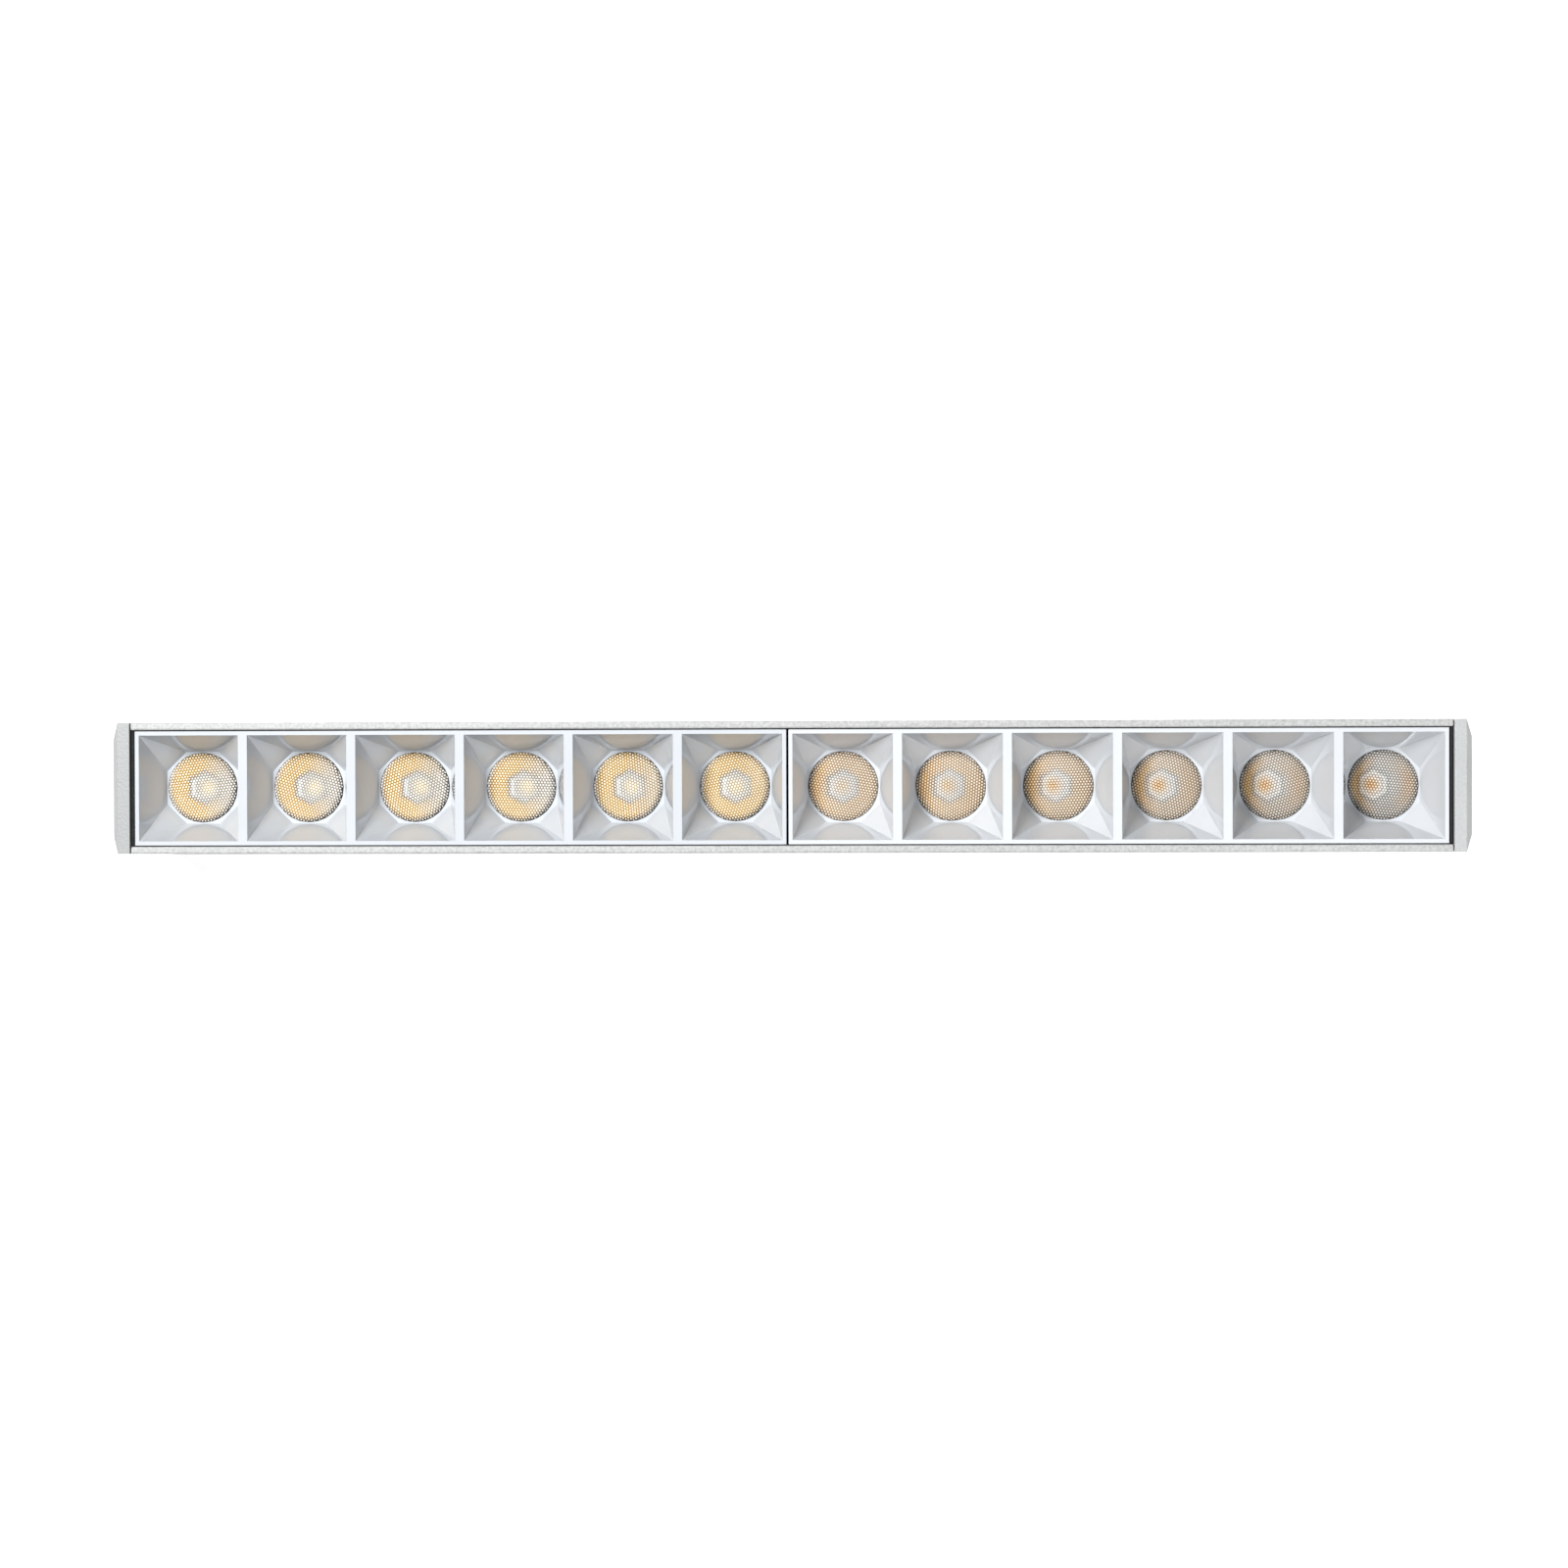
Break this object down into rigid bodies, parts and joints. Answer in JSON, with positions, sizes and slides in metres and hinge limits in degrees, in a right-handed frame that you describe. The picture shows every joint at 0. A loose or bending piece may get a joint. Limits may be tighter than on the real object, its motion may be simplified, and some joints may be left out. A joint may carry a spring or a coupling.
{
  "type": "led strip batten",
  "caption": "Slim white linear LED batten: an extruded housing with bevelled end caps, two reflector grilles of square-to-octagon cells, beaded lenses and sliding mounting clips.",
  "frame": {"origin": "middle of the plane that the mounting clips rest on, under the middle of the batten", "axes": "+X along the batten towards the right end cap, +Y across it, +Z the way the light leaves"},
  "size_m": [0.3616, 0.035, 0.0575],
  "materials": {
    "housing_coat": "fine sandy white powder coat",
    "cap_coat": "fine sandy white powder coat, slightly cooler",
    "reflector": "glossy moulded white",
    "lens_acrylic": "clear moulded acrylic with a beaded face",
    "phosphor": "satin yellow phosphor on a white base",
    "board": "white solder mask",
    "screw_steel": "zinc plated",
    "clip_steel": "stainless spring steel",
    "cover_coat": "white powder coat",
    "driver_shell": "matt off-white",
    "terminal_shell": "matt grey",
    "button_plastic": "satin orange",
    "seal_foam": "matt black foam",
    "grommet_rubber": "matt black",
    "lead_brown": "brown insulation",
    "lead_blue": "blue insulation",
    "lead_green": "green insulation",
    "lead_red": "red insulation",
    "lead_black": "black insulation"
  },
  "bodies": {
    "batten": {"housing": "housing_coat", "end_cap_left": "cap_coat", "end_cap_right": "cap_coat", "end_seal_left": "seal_foam", "end_seal_right": "seal_foam", "grille_left": "reflector", "grille_right": "reflector", "led_board_left": "board", "led_board_right": "board", "back_cover": "cover_coat", "cable_grommet": "grommet_rubber", "driver": "driver_shell", "terminal_block": "terminal_shell", "live_lead": "lead_brown", "neutral_lead": "lead_blue", "earth_lead": "lead_green", "led_lead_positive": "lead_red", "led_lead_negative": "lead_black", "board_link_positive": "lead_red", "board_link_negative": "lead_black", "cap_screw_1": "screw_steel", "cap_screw_2": "screw_steel", "cap_screw_3": "screw_steel", "cap_screw_4": "screw_steel", "board_screw_1": "screw_steel", "board_screw_2": "screw_steel", "board_screw_3": "screw_steel", "board_screw_4": "screw_steel", "lens_01": "lens_acrylic", "lens_02": "lens_acrylic", "lens_03": "lens_acrylic", "lens_04": "lens_acrylic", "lens_05": "lens_acrylic", "lens_06": "lens_acrylic", "lens_07": "lens_acrylic", "lens_08": "lens_acrylic", "lens_09": "lens_acrylic", "lens_10": "lens_acrylic", "lens_11": "lens_acrylic", "lens_12": "lens_acrylic", "led_01": "phosphor", "led_02": "phosphor", "led_03": "phosphor", "led_04": "phosphor", "led_05": "phosphor", "led_06": "phosphor", "led_07": "phosphor", "led_08": "phosphor", "led_09": "phosphor", "led_10": "phosphor", "led_11": "phosphor", "led_12": "phosphor"},
    "clip_left": {"mount_clip_left": "clip_steel"},
    "clip_right": {"mount_clip_right": "clip_steel"},
    "button_1": {"terminal_button_1": "button_plastic"},
    "button_2": {"terminal_button_2": "button_plastic"},
    "button_3": {"terminal_button_3": "button_plastic"}
  },
  "joints": [
    {"name": "clip_left_slide", "type": "slide", "parent": "batten", "child": "clip_left", "axis": [1, 0, 0], "range_m": [-0.025, 0.06]},
    {"name": "clip_right_slide", "type": "slide", "parent": "batten", "child": "clip_right", "axis": [1, 0, 0], "range_m": [-0.06, 0.05]},
    {"name": "button_1_press", "type": "slide", "parent": "batten", "child": "button_1", "axis": [0, 0, 1], "range_m": [0, 0.0012], "stiffness_N_per_m": 2000, "springref_m": -0.001},
    {"name": "button_2_press", "type": "slide", "parent": "batten", "child": "button_2", "axis": [0, 0, 1], "range_m": [0, 0.0012], "stiffness_N_per_m": 2000, "springref_m": -0.001},
    {"name": "button_3_press", "type": "slide", "parent": "batten", "child": "button_3", "axis": [0, 0, 1], "range_m": [0, 0.0012], "stiffness_N_per_m": 2000, "springref_m": -0.001}
  ]
}
